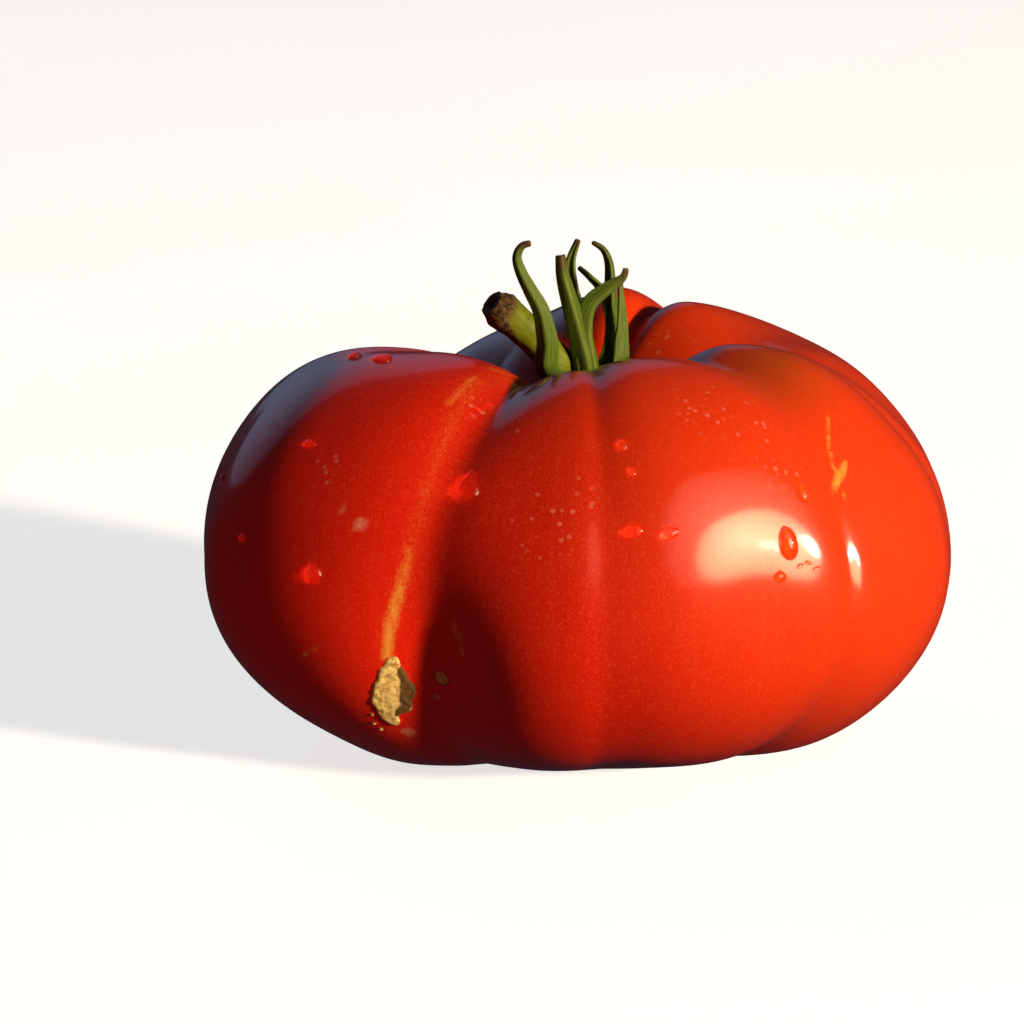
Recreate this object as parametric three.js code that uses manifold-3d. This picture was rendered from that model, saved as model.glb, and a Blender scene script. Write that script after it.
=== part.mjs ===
// A ripe beefsteak tomato: one lobed fruit, the green calyx in its stem basin, and the stub of stem above it.
// Millimetres, +Z up, with the viewer on the -Y side and +X to the viewer's right.
// The origin is on the small flat spot that the fruit rests on, under the middle of its width and depth.
import * as THREE from "three";
import { mergeVertices } from "three/addons/utils/BufferGeometryUtils.js";
import Module from "manifold-3d";

const wasm = await Module();
wasm.setup();

const { clamp, degToRad, lerp, radToDeg, smoothstep } = THREE.MathUtils;

// Fruit: overall size.
const FRUIT_WIDTH = 130;
const FRUIT_DEPTH = 122;
const CREST_HEIGHT = 72.5;
const CREST_RADIUS = 29;
const WIDEST_HEIGHT = 34.5;
const BASIN_FLOOR = 58;
const RESTING_RADIUS = 17;

// Fruit: how its outline swells between those sizes, as the reach of each curve handle.
const BASE_SWELL = 29;
const BELLY_DROP = 19;
const BELLY_RISE = 21;
const SHOULDER_SWELL = 21;
const BASIN_LIP = 12;
const BASIN_FLOOR_SPREAD = 10;

// Uneven growth: places where the skin stands further out than the turned outline, or further in where
// the push is negative. The azimuth is in degrees from the front towards the right, and the latitude is 0
// at the widest height. The push is in millimetres, and it dies away over the two spreads, in degrees.
const SWELLS = [
  { azimuth: 140, latitude: 62, push: 3.4, across: 22, along: 16 },
  { azimuth: 164, latitude: 60, push: 3.6, across: 17, along: 18 },
  { azimuth: 91, latitude: 61, push: -5.5, across: 17, along: 13 },
  { azimuth: 64, latitude: 46, push: 1.8, across: 12, along: 16 },
  { azimuth: -128, latitude: 56, push: -11.0, across: 31, along: 26 },
  { azimuth: 12, latitude: 56, push: 1.2, across: 26, along: 16 },
  { azimuth: -78, latitude: 40, push: 2.0, across: 30, along: 18 },
  { azimuth: -62, latitude: 6, push: 4.2, across: 17, along: 26 },
  { azimuth: -92, latitude: -28, push: -2.2, across: 26, along: 18 },
  { azimuth: -52, latitude: -44, push: 2.2, across: 15, along: 16 },
  { azimuth: -10, latitude: 28, push: -2.4, across: 13, along: 22 },
  { azimuth: -22, latitude: -7, push: -4.6, across: 12, along: 16 },
  { azimuth: 84, latitude: 28, push: -1.3, across: 30, along: 14 },
  { azimuth: 112, latitude: 46, push: -1.8, across: 16, along: 12 },
  { azimuth: 10, latitude: -50, push: -2.4, across: 34, along: 18 },
  { azimuth: 70, latitude: -40, push: 2.0, across: 34, along: 24 },
];

// Fruit: how finely it is faceted.
const ROUND_SEGMENTS = 120;
const BELLY_STEPS = 11;
const BASIN_STEPS = 8;

// Grooves between the lobes. A course is a groove's azimuth at the shoulder, the belly and the base, in
// degrees from the front towards the right. The depths are in millimetres at the same three places, and the
// half width is in degrees.
const SHOULDER = 0;
const BELLY = 1;
const BASE = 2;
const GROOVES = [
  { course: [-22, -27, -30], depth: [4.4, 4.6, 4.2], width: 8 },
  { course: [3, 6, 8], depth: [1.4, 1.4, 1.0], width: 7 },
  { course: [50, 43, 45], depth: [2.4, 2.0, 2.6], width: 7 },
  { course: [88, 92, 95], depth: [2.0, 1.0, 0.8], width: 9 },
  { course: [150, 150, 150], depth: [5.2, 1.8, 1.6], width: 6 },
  { course: [-170, -170, -170], depth: [1.2, 1.2, 1.2], width: 7 },
  { course: [-146, -146, -146], depth: [7.5, 1.0, 0.8], width: 8 },
  { course: [-104, -104, -104], depth: [5.5, 2.0, 1.8], width: 7 },
  { course: [-72, -76, -80], depth: [2.0, 1.4, 1.0], width: 7 },
];
const GROOVE_SOFTNESS = 0.5;
const GROOVE_FULL_LATITUDE = 48;

// Calyx: the receptacle sits clear of the basin floor, and the sepals grow from a ring on it.
const RECEPTACLE_CLEARANCE = 1.1;
const RECEPTACLE_RADIUS = 5.6;
const RECEPTACLE_HEIGHT = 3.6;
const RECEPTACLE_FLAT_RADIUS = 3.4;
const SEPAL_ROOT_RADIUS = 3.9;
const SEPAL_ROOT_HEIGHT = 2.9;
const SEPAL_THICKNESS = 0.9;
const SEPAL_TIP_THICKNESS = 0.65;
const SEPAL_ROOT_WIDTH = 3.2;
const SEPAL_WIDEST_AT = 0.3;
const SEPAL_TAPER = 1.3;
const SEPAL_FOLD = 0.45;
const SEPAL_STEPS = 16;
const SEPAL_STRIPS = 4;
const RECEPTACLE_SEGMENTS = 24;

// Points of a surface that are closer than this become one point, before its solid is joined to others.
const WELD_DISTANCE = 1e-4;

// Each sepal: its azimuth on the ring, its greatest width, its tip width, and the points that its midrib
// passes through, with their heights above the basin floor.
const SEPALS = [
  {
    azimuth: -28,
    width: 4.4,
    tip: 0.8,
    midrib: [
      [-6.0, -7.4, 9], [-6.0, -8.2, 14], [-6.8, -8.4, 19.5], [-8.4, -8.3, 23.2],
      [-10.0, -7.9, 26.4], [-10.7, -7.6, 29.1], [-9.8, -7.4, 31.0], [-8.2, -7.3, 31.5],
    ],
  },
  {
    azimuth: 5,
    width: 3.8,
    tip: 1.5,
    midrib: [[1.8, -4.2, 8], [0.7, -4.5, 13.5], [-0.9, -4.9, 19.4], [-2.5, -5.0, 25], [-3.1, -4.8, 29]],
  },
  {
    azimuth: 40,
    width: 4.6,
    tip: 1.0,
    midrib: [
      [3.0, -3.6, 8], [2.0, -3.4, 15], [2.6, -3.3, 19.6],
      [5.0, -2.9, 22.2], [7.8, -2.4, 24.4], [8.3, -2.2, 26.2],
    ],
  },
  {
    azimuth: 80,
    width: 4.4,
    tip: 1.0,
    midrib: [[8.2, -1.2, 8.5], [8.5, -1.0, 14], [8.0, -0.6, 19], [7.4, 0, 23.4]],
  },
  {
    azimuth: 112,
    width: 4.2,
    tip: 0.8,
    midrib: [
      [7.2, 3.4, 8.5], [7.1, 4.0, 15.3], [6.4, 4.2, 21.6],
      [5.9, 4.1, 25.8], [4.6, 3.9, 28.5], [2.4, 3.7, 29.8],
    ],
  },
  {
    azimuth: 140,
    width: 3.4,
    tip: 0.8,
    midrib: [[6.2, 7.4, 8.5], [6.8, 8.4, 14.5], [4.7, 8.6, 20.1], [2.4, 8.4, 22.6], [0.1, 8.2, 24.5]],
  },
  {
    azimuth: 178,
    width: 3.6,
    tip: 0.8,
    midrib: [[0.6, 5.2, 8.5], [0.2, 5.6, 15.5], [-1.1, 5.4, 21], [-1.3, 5.1, 26], [0, 4.9, 30]],
  },
];

// Stem: a bent stub that stands on the receptacle and leans to the left and towards the viewer.
// Its shares are of its length. It has a knuckle at the bend, and its dry end is swollen round a hollow.
const STEM_GAP = 0.3;
const STEM_RADIUS = 2.9;
const STEM_KNUCKLE = { at: 0.27, spread: 0.08, swell: 0.45 };
const STEM_END = { from: 0.68, rim: 0.95, radius: 3.4, hollowRadius: 1.6, hollowFloor: 0.94 };
const STEM_STEPS = 14;
const STEM_SEGMENTS = 18;
const STEM_PATH = [
  [-3.6, -0.2, 0], [-3.6, -0.3, 1.6], [-4.3, -0.9, 4.8],
  [-6.9, -2.7, 8.3], [-10.6, -4.6, 12.1], [-15, -6.6, 16],
];

// A closed surface as a solid that can be joined to others.
function solidOf(geometry) {
  const bare = geometry.clone();
  bare.deleteAttribute("normal");
  bare.deleteAttribute("uv");
  const merged = mergeVertices(bare, WELD_DISTANCE);
  const vertProperties = new Float32Array(merged.getAttribute("position").array);
  const triVerts = new Uint32Array(merged.index.array);
  return new wasm.Manifold(new wasm.Mesh({ numProp: 3, vertProperties, triVerts }));
}

// A joined solid back as a surface.
function geometryOf(solid) {
  const { vertProperties, triVerts } = solid.getMesh();
  const geometry = new THREE.BufferGeometry();
  geometry.setAttribute("position", new THREE.BufferAttribute(vertProperties, 3));
  geometry.setIndex(new THREE.BufferAttribute(triVerts, 1));
  geometry.computeVertexNormals();
  return geometry;
}

// A point of an outline that is turned about its axis.
function at(radius, height) {
  return new THREE.Vector2(radius, height);
}

// The fruit's outline on one side of its axis, from the flat spot up over the shoulder and into the basin.
function fruitOutline() {
  const belly = FRUIT_WIDTH / 2;
  const lower = new THREE.CubicBezierCurve(
    at(RESTING_RADIUS, 0),
    at(RESTING_RADIUS + BASE_SWELL, 0),
    at(belly, WIDEST_HEIGHT - BELLY_DROP),
    at(belly, WIDEST_HEIGHT),
  );
  const upper = new THREE.CubicBezierCurve(
    at(belly, WIDEST_HEIGHT),
    at(belly, WIDEST_HEIGHT + BELLY_RISE),
    at(CREST_RADIUS + SHOULDER_SWELL, CREST_HEIGHT),
    at(CREST_RADIUS, CREST_HEIGHT),
  );
  const basin = new THREE.CubicBezierCurve(
    at(CREST_RADIUS, CREST_HEIGHT),
    at(CREST_RADIUS - BASIN_LIP, CREST_HEIGHT),
    at(BASIN_FLOOR_SPREAD, BASIN_FLOOR),
    at(0, BASIN_FLOOR),
  );
  return [
    at(0, 0),
    ...lower.getPoints(BELLY_STEPS),
    ...upper.getPoints(BELLY_STEPS).slice(1),
    ...basin.getPoints(BASIN_STEPS).slice(1),
  ];
}

// The turn from one azimuth to another, between -180 and 180 degrees.
function turnBetween(from, to) {
  return (to - from + 540) % 360 - 180;
}

// How far the skin stands out of the turned outline at one place, from the swells less the grooves.
function skinPush(azimuth, latitude, radius) {
  const turn = clamp(latitude / GROOVE_FULL_LATITUDE, -1, 1);
  const nearPole = latitude < 0
    ? smoothstep(radius, RESTING_RADIUS, RESTING_RADIUS + BASE_SWELL)
    : smoothstep(radius, BASIN_FLOOR_SPREAD / 3, CREST_RADIUS);
  let push = 0;
  for (const swell of SWELLS) {
    const across = turnBetween(swell.azimuth, azimuth) / swell.across;
    const along = (latitude - swell.latitude) / swell.along;
    push += swell.push * Math.exp(-across * across - along * along);
  }
  for (const groove of GROOVES) {
    const end = turn < 0 ? BASE : SHOULDER;
    const pressed = lerp(groove.depth[BELLY], groove.depth[end], smoothstep(Math.abs(turn), 0, 1));
    const aside = turnBetween(groove.course[BELLY], groove.course[end]) * Math.abs(turn);
    const middle = groove.course[BELLY] + aside;
    const away = turnBetween(middle, azimuth) / groove.width;
    push -= pressed * Math.exp(GROOVE_SOFTNESS - Math.hypot(away, GROOVE_SOFTNESS));
  }
  return push * nearPole;
}

// Fruit: the outline is turned about the axis, the skin is pushed out or in along its normal,
// and the whole is sized and centred.
function makeFruit() {
  const geometry = new THREE.LatheGeometry(fruitOutline(), ROUND_SEGMENTS).rotateX(Math.PI / 2);
  const position = geometry.getAttribute("position");
  const normal = geometry.getAttribute("normal");
  const point = new THREE.Vector3();
  const out = new THREE.Vector3();
  for (let i = 0; i < position.count; i++) {
    point.fromBufferAttribute(position, i);
    out.fromBufferAttribute(normal, i);
    const radius = Math.hypot(point.x, point.y);
    const azimuth = radToDeg(Math.atan2(point.x, -point.y));
    const latitude = radToDeg(Math.atan2(point.z - WIDEST_HEIGHT, radius));
    point.addScaledVector(out, skinPush(azimuth, latitude, radius));
    position.setXYZ(i, point.x, point.y, point.z);
  }
  geometry.computeBoundingBox();
  const size = geometry.boundingBox.getSize(new THREE.Vector3());
  geometry.scale(FRUIT_WIDTH / size.x, FRUIT_DEPTH / size.y, 1);
  geometry.computeBoundingBox();
  const middle = geometry.boundingBox.getCenter(new THREE.Vector3());
  return geometry.translate(-middle.x, -middle.y, 0);
}

// Carries a straight shape, whose length runs from z = 0 to z = 1, onto a curve.
// The section function turns a point of the straight shape into its offsets across the curve and outwards.
function alongCurve(geometry, curve, outwards, section) {
  const position = geometry.getAttribute("position");
  const point = new THREE.Vector3();
  const across = new THREE.Vector3();
  for (let i = 0; i < position.count; i++) {
    point.fromBufferAttribute(position, i);
    const along = clamp(point.z, 0, 1);
    const tangent = curve.getTangentAt(along);
    const outward = outwards.clone().addScaledVector(tangent, -outwards.dot(tangent)).normalize();
    across.crossVectors(outward, tangent);
    const [sideways, outOffset] = section(point.x, point.y, along);
    const placed = curve.getPointAt(along);
    placed.addScaledVector(across, sideways).addScaledVector(outward, outOffset);
    position.setXYZ(i, placed.x, placed.y, placed.z);
  }
  return geometry;
}

// One sepal: a thin blade, folded along its midrib and tapered to the tip, bent onto the midrib's curve.
function makeSepal(sepal) {
  const azimuth = degToRad(sepal.azimuth);
  const outwards = new THREE.Vector3(Math.sin(azimuth), -Math.cos(azimuth), 0);
  const root = outwards.clone().multiplyScalar(SEPAL_ROOT_RADIUS).setZ(SEPAL_ROOT_HEIGHT);
  const midrib = [root, ...sepal.midrib.map((place) => new THREE.Vector3(...place))];
  midrib.forEach((place) => place.setZ(place.z + BASIN_FLOOR));
  const curve = new THREE.CatmullRomCurve3(midrib);
  const blade = new THREE.BoxGeometry(2, 1, 1, SEPAL_STRIPS, 1, SEPAL_STEPS).translate(0, 0, 0.5);
  return alongCurve(blade, curve, outwards, (side, face, along) => {
    const spread = along < SEPAL_WIDEST_AT
      ? lerp(SEPAL_ROOT_WIDTH, sepal.width, smoothstep(along, 0, SEPAL_WIDEST_AT))
      : lerp(sepal.width, sepal.tip, ((along - SEPAL_WIDEST_AT) / (1 - SEPAL_WIDEST_AT)) ** SEPAL_TAPER);
    const thickness = lerp(SEPAL_THICKNESS, SEPAL_TIP_THICKNESS, along);
    return [side * spread / 2, face * thickness - SEPAL_FOLD * spread / 2 * side * side];
  });
}

// Calyx: the rounded receptacle with every sepal's root sunk in it, joined into one solid.
function makeCalyx() {
  const foot = BASIN_FLOOR + RECEPTACLE_CLEARANCE;
  const top = foot + RECEPTACLE_HEIGHT;
  const side = new THREE.QuadraticBezierCurve(
    at(RECEPTACLE_FLAT_RADIUS, foot),
    at(2 * RECEPTACLE_RADIUS - RECEPTACLE_FLAT_RADIUS, (foot + top) / 2),
    at(RECEPTACLE_FLAT_RADIUS, top),
  );
  const outline = [at(0, foot), ...side.getPoints(SEPAL_STRIPS), at(0, top)];
  let calyx = solidOf(new THREE.LatheGeometry(outline, RECEPTACLE_SEGMENTS).rotateX(Math.PI / 2));
  for (const sepal of SEPALS) {
    calyx = calyx.add(solidOf(makeSepal(sepal)));
  }
  return geometryOf(calyx);
}

// The stem's radius at a share of its length.
function stemRadius(along) {
  const bend = (along - STEM_KNUCKLE.at) / STEM_KNUCKLE.spread;
  const swollen = lerp(STEM_RADIUS, STEM_END.radius, smoothstep(along, STEM_END.from, STEM_END.rim));
  return swollen + STEM_KNUCKLE.swell * Math.exp(-bend * bend);
}

// Stem: the stub is turned straight, from its foot to the hollow in its end, and then bent onto its curve.
function makeStem() {
  const outline = [at(0, 0)];
  for (let step = 0; step <= STEM_STEPS; step++) {
    const along = STEM_END.rim * step / STEM_STEPS;
    outline.push(at(stemRadius(along), along));
  }
  outline.push(at((STEM_END.radius + STEM_END.hollowRadius) / 2, 1));
  outline.push(at(STEM_END.hollowRadius, 1));
  outline.push(at(0, STEM_END.hollowFloor));
  const foot = BASIN_FLOOR + RECEPTACLE_CLEARANCE + RECEPTACLE_HEIGHT + STEM_GAP;
  const curve = new THREE.CatmullRomCurve3(STEM_PATH.map(([x, y, z]) => new THREE.Vector3(x, y, foot + z)));
  const stub = new THREE.LatheGeometry(outline, STEM_SEGMENTS).rotateX(Math.PI / 2);
  const towardsViewer = new THREE.Vector3(0, -1, 0);
  return alongCurve(stub, curve, towardsViewer, (x, y) => [x, y]);
}

// One named piece of the finished object.
function piece(name, geometry, colour, roughness) {
  const material = new THREE.MeshStandardMaterial({ color: colour, roughness, metalness: 0 });
  const mesh = new THREE.Mesh(geometry, material);
  mesh.name = name;
  return mesh;
}

const tomato = new THREE.Group();
tomato.name = "tomato";
tomato.add(piece("fruit", makeFruit(), 0xc0201a, 0.3));
tomato.add(piece("calyx", makeCalyx(), 0x5c7a2e, 0.7));
tomato.add(piece("stem", makeStem(), 0x7f8f3f, 0.7));

export default tomato;
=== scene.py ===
# %% [markdown]
# A ripe beefsteak tomato, as a lesson in Blender.
# The real fruit is one swollen berry with deep lobes, a green calyx of long sepals and a bent stub of stem.
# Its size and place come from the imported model, the frame, which loads first and is never moved.
# The box of that model is kept, so that the finished looks can be measured against it at the end.

# %% Load the frame
import math

import bmesh
import bpy
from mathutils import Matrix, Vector, geometry, noise
from mathutils.bvhtree import BVHTree


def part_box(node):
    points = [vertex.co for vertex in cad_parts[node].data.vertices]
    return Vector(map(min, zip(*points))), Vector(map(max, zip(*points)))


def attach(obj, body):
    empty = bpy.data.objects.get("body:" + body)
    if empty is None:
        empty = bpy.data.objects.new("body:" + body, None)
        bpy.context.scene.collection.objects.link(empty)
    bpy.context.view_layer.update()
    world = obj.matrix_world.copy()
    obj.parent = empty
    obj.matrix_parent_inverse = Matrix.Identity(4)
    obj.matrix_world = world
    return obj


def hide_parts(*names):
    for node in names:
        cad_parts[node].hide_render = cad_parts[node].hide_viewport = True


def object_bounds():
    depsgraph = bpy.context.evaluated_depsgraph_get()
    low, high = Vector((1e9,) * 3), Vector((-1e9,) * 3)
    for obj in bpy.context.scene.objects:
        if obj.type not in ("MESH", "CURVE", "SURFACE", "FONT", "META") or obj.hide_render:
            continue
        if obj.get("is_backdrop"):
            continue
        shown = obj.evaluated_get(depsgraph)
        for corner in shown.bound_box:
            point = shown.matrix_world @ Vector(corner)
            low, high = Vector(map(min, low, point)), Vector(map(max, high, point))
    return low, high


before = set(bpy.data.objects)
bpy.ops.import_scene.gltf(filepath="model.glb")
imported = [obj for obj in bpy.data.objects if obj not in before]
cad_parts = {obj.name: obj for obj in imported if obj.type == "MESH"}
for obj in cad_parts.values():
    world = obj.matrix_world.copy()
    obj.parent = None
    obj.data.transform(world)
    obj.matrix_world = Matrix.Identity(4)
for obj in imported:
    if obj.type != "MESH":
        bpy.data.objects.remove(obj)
cad_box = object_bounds()
MM = 0.001
FRUIT_LOW, FRUIT_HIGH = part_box("fruit")
fruit_size = [round(side / MM, 1) for side in FRUIT_HIGH - FRUIT_LOW]
print("nodes:", sorted(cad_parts), "fruit size in mm:", fruit_size)

# %% [markdown]
# The camera comes first, because it is also a measuring tool: a mark or a drop can be put where the
# photograph shows it, by sending a ray from the camera through that pixel onto the skin.
# The lens is long, as for a close portrait of a fruit, and looks down on it by fourteen degrees.

# %% Camera
PHOTO_PIXELS = 1024
SENSOR_WIDTH = 36.0
LENS_LENGTH = 150.5
VIEW_ELEVATION = math.radians(14)
VIEW_DISTANCE = 0.75
BELLY_HEIGHT = 34.5 * MM
BELLY_PIXEL = (577.5, 545.0)

ACROSS = Vector((1, 0, 0))
UPWARD = Vector((0, math.sin(VIEW_ELEVATION), math.cos(VIEW_ELEVATION)))
FORWARD = Vector((0, math.cos(VIEW_ELEVATION), -math.sin(VIEW_ELEVATION)))
PIXEL_SLOPE = SENSOR_WIDTH / LENS_LENGTH / PHOTO_PIXELS


def pixel_slopes(pixel):
    """How far a pixel lies to the right of the view's middle and above it, for each metre of distance."""
    right = (pixel[0] - PHOTO_PIXELS / 2) * PIXEL_SLOPE
    above = (PHOTO_PIXELS / 2 - pixel[1]) * PIXEL_SLOPE
    return right, above


def place_camera():
    """The camera at the photograph's viewing angle, with the fruit's belly on its own pixel."""
    right, above = pixel_slopes(BELLY_PIXEL)
    lens = bpy.data.cameras.new("camera")
    lens.sensor_width = SENSOR_WIDTH
    lens.lens = LENS_LENGTH
    lens.clip_start = 0.01
    placed = bpy.data.objects.new("camera", lens)
    belly = Vector((0, 0, BELLY_HEIGHT))
    placed.location = belly - VIEW_DISTANCE * (FORWARD + right * ACROSS + above * UPWARD)
    placed.rotation_euler = (math.pi / 2 - VIEW_ELEVATION, 0, 0)
    bpy.context.scene.collection.objects.link(placed)
    bpy.context.scene.camera = placed
    return placed


camera = place_camera()
print("camera at", [round(v, 3) for v in camera.location])

# %% [markdown]
# The light is a small warm lamp low on the right, as bright as late sun. Two wide panels round it are seen
# only in the gloss, where they give the broad pale gleam and the pink haze about it, and two small lamps give
# the sparks in that gleam, so that the sun itself is kept out of the gloss. A cool sky behind gives the blue
# sheen along the rims, and a warm glow from below lifts the shade, as sunlit ground does.
# The floor is a plain pale sheet, wide enough to fill the view. It shows a shadow but throws no light up.

# %% Light and floor
def aim_light(name, energy, colour, shape, width, height, azimuth, elevation, distance):
    """A softbox that looks at the belly from an azimuth, in degrees from the front to the right."""
    lamp = bpy.data.lights.new(name, "AREA")
    lamp.shape = shape
    lamp.energy = energy
    lamp.color = colour
    lamp.size = width
    lamp.size_y = height
    turn = math.radians(azimuth)
    rise = math.radians(elevation)
    towards = Vector((math.sin(turn) * math.cos(rise), -math.cos(turn) * math.cos(rise), math.sin(rise)))
    placed = bpy.data.objects.new(name, lamp)
    placed.location = Vector((0, 0, BELLY_HEIGHT)) + towards * distance
    placed.rotation_euler = towards.to_track_quat("Z", "Y").to_euler()
    bpy.context.scene.collection.objects.link(placed)
    return placed


sun_lamp = aim_light("sun_lamp", 152, (1.0, 0.80, 0.56), "ELLIPSE", 0.28, 0.28, 53, 13, 3.0)
sun_lamp.visible_glossy = False
right_spark = aim_light("right_spark", 34, (1.0, 0.86, 0.70), "ELLIPSE", 0.36, 0.36, 69, 12, 3.0)
right_spark.visible_diffuse = False
left_spark = aim_light("left_spark", 3, (1.0, 0.88, 0.70), "ELLIPSE", 0.11, 0.14, 57, 10, 3.0)
left_spark.visible_diffuse = False
gleam_panel = aim_light("gleam_panel", 18, (1.0, 0.80, 0.45), "ELLIPSE", 2.15, 1.65, 53, 14, 3.0)
gleam_panel.data.spread = math.radians(52)
gleam_panel.visible_diffuse = False
haze_panel = aim_light("haze_panel", 23, (1.0, 0.70, 0.50), "ELLIPSE", 4.1, 3.2, 48, 27, 3.0)
haze_panel.data.spread = math.radians(70)
haze_panel.visible_diffuse = False
sky_panel = aim_light("sky_panel", 0.62, (0.40, 0.62, 1.0), "ELLIPSE", 1.7, 1.1, -152, 26, 1.3)
sky_panel.data.spread = math.radians(80)
ground_glow = aim_light("ground_glow", 1.8, (1.0, 0.36, 0.16), "ELLIPSE", 1.0, 0.6, -28, -14, 1.4)
ground_glow.visible_glossy = False


def make_world():
    """A dim cool sky all round."""
    world = bpy.data.worlds.new("sky")
    world.use_nodes = True
    background = world.node_tree.nodes["Background"]
    background.inputs["Color"].default_value = (0.6, 0.72, 1.0, 1)
    background.inputs["Strength"].default_value = 0.025
    bpy.context.scene.world = world
    bpy.context.scene.view_settings.view_transform = "Standard"
    return world


make_world()


def add_node(tree, kind, inputs=(), **settings):
    """One shader node: its settings, then its sockets, each set to a value or linked from a socket."""
    made = tree.nodes.new("ShaderNode" + kind)
    for name, value in settings.items():
        setattr(made, name, value)
    for socket, value in dict(inputs).items():
        if isinstance(value, bpy.types.NodeSocket):
            tree.links.new(value, made.inputs[socket])
        else:
            made.inputs[socket].default_value = value
    return made


def new_material(name):
    """An empty node material, with its node tree and its principled shader."""
    material = bpy.data.materials.new(name)
    material.use_nodes = True
    return material, material.node_tree, material.node_tree.nodes["Principled BSDF"]


def mix_colours(tree, share, first, second, blend="MIX"):
    """The colour between two others, by a share from 0 to 1."""
    made = add_node(tree, "Mix", {0: share, 6: first, 7: second}, data_type="RGBA", blend_type=blend)
    return made.outputs[2]


def calculate(tree, operation, first, second=0.0, third=0.0):
    """The result of one sum on a value at each point."""
    made = add_node(tree, "Math", {0: first, 1: second, 2: third}, operation=operation)
    return made.outputs[0]


def fade(tree, value, start, end):
    """0 where a value is below start, 1 above end, and smooth between them."""
    limits = {"Value": value, "From Min": start, "From Max": end}
    made = add_node(tree, "MapRange", limits, interpolation_type="SMOOTHSTEP")
    return made.outputs["Result"]


def grain(tree, place, scale, detail=2.0, roughness=0.5):
    """Soft noise at each point, with a scale in lumps per metre."""
    settings = {"Vector": place, "Scale": scale, "Detail": detail, "Roughness": roughness}
    return add_node(tree, "TexNoise", settings).outputs["Fac"]


def finish_piece(name, mesh_shape, material, nodes):
    """A piece of the tomato from its bmesh: shaded smooth, finished, riding on the one body."""
    mesh = bpy.data.meshes.new(name)
    mesh_shape.to_mesh(mesh)
    mesh_shape.free()
    mesh.shade_smooth()
    mesh.materials.append(material)
    piece = bpy.data.objects.new(name, mesh)
    bpy.context.scene.collection.objects.link(piece)
    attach(piece, "root")
    for node in nodes:
        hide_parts(node)
    print(name, "has", len(mesh.polygons), "faces")
    return piece


def make_floor():
    """A plain pale sheet under the fruit."""
    material, tree, shader = new_material("floor_paper")
    place = add_node(tree, "TexCoord").outputs["Object"]
    tone = mix_colours(tree, grain(tree, place, 3), (0.84, 0.83, 0.81, 1), (0.90, 0.89, 0.88, 1))
    tree.links.new(tone, shader.inputs["Base Color"])
    tree.links.new(tone, shader.inputs["Emission Color"])
    shader.inputs["Emission Strength"].default_value = 0.85
    shader.inputs["Roughness"].default_value = 0.9
    shader.inputs["Specular IOR Level"].default_value = 0.1
    sheet = bmesh.new()
    bmesh.ops.create_grid(sheet, x_segments=1, y_segments=1, size=4.0)
    mesh = bpy.data.meshes.new("floor")
    sheet.to_mesh(mesh)
    sheet.free()
    mesh.materials.append(material)
    floor = bpy.data.objects.new("floor", mesh)
    floor.location.z = -0.1 * MM
    floor.visible_diffuse = False
    floor.visible_glossy = False
    floor.visible_transmission = False
    floor.visible_shadow = False
    bpy.context.scene.collection.objects.link(floor)
    floor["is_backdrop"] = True
    return floor


make_floor()
print("lights and floor are in place")

# %% [markdown]
# The fruit's form. A tomato is close to a turned shape, so its outline is spun about the stem's axis.
# The lobes come next: at each point of the skin the grooves between the seed chambers press it in, and
# uneven growth pushes it out, along the skin's own normal. The same few numbers shape the frame's solid.
# A sculpted ball could look as good, but it would not keep to the frame.

# %% Outline of the fruit
CREST_HEIGHT = 72.5
CREST_RADIUS = 29.0
WIDEST_HEIGHT = 34.5
BASIN_FLOOR = 58.0
RESTING_RADIUS = 17.0
BASE_SWELL = 29.0
BELLY_DROP = 19.0
BELLY_RISE = 21.0
SHOULDER_SWELL = 21.0
BASIN_LIP = 12.0
BASIN_FLOOR_SPREAD = 10.0
BELLY_RADIUS = (FRUIT_HIGH.x - FRUIT_LOW.x) / MM / 2
OUTLINE_STEPS = 54
SPIN_STEPS = 360


def outline_stretch(start, first_handle, second_handle, end):
    """Points along one curve of the outline, as distances from the axis and heights in millimetres."""
    corners = [Vector((radius, 0, height)) for radius, height in (start, first_handle, second_handle, end)]
    return geometry.interpolate_bezier(*corners, OUTLINE_STEPS)


def fruit_outline():
    """The outline from the flat spot, up over the shoulder and down into the basin."""
    lower = outline_stretch(
        (RESTING_RADIUS, 0),
        (RESTING_RADIUS + BASE_SWELL, 0),
        (BELLY_RADIUS, WIDEST_HEIGHT - BELLY_DROP),
        (BELLY_RADIUS, WIDEST_HEIGHT),
    )
    upper = outline_stretch(
        (BELLY_RADIUS, WIDEST_HEIGHT),
        (BELLY_RADIUS, WIDEST_HEIGHT + BELLY_RISE),
        (CREST_RADIUS + SHOULDER_SWELL, CREST_HEIGHT),
        (CREST_RADIUS, CREST_HEIGHT),
    )
    basin = outline_stretch(
        (CREST_RADIUS, CREST_HEIGHT),
        (CREST_RADIUS - BASIN_LIP, CREST_HEIGHT),
        (BASIN_FLOOR_SPREAD, BASIN_FLOOR),
        (0, BASIN_FLOOR),
    )
    spot = [Vector((RESTING_RADIUS * share / 8, 0, 0)) for share in range(8)]
    return spot + lower + upper[1:] + basin[1:]


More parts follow.
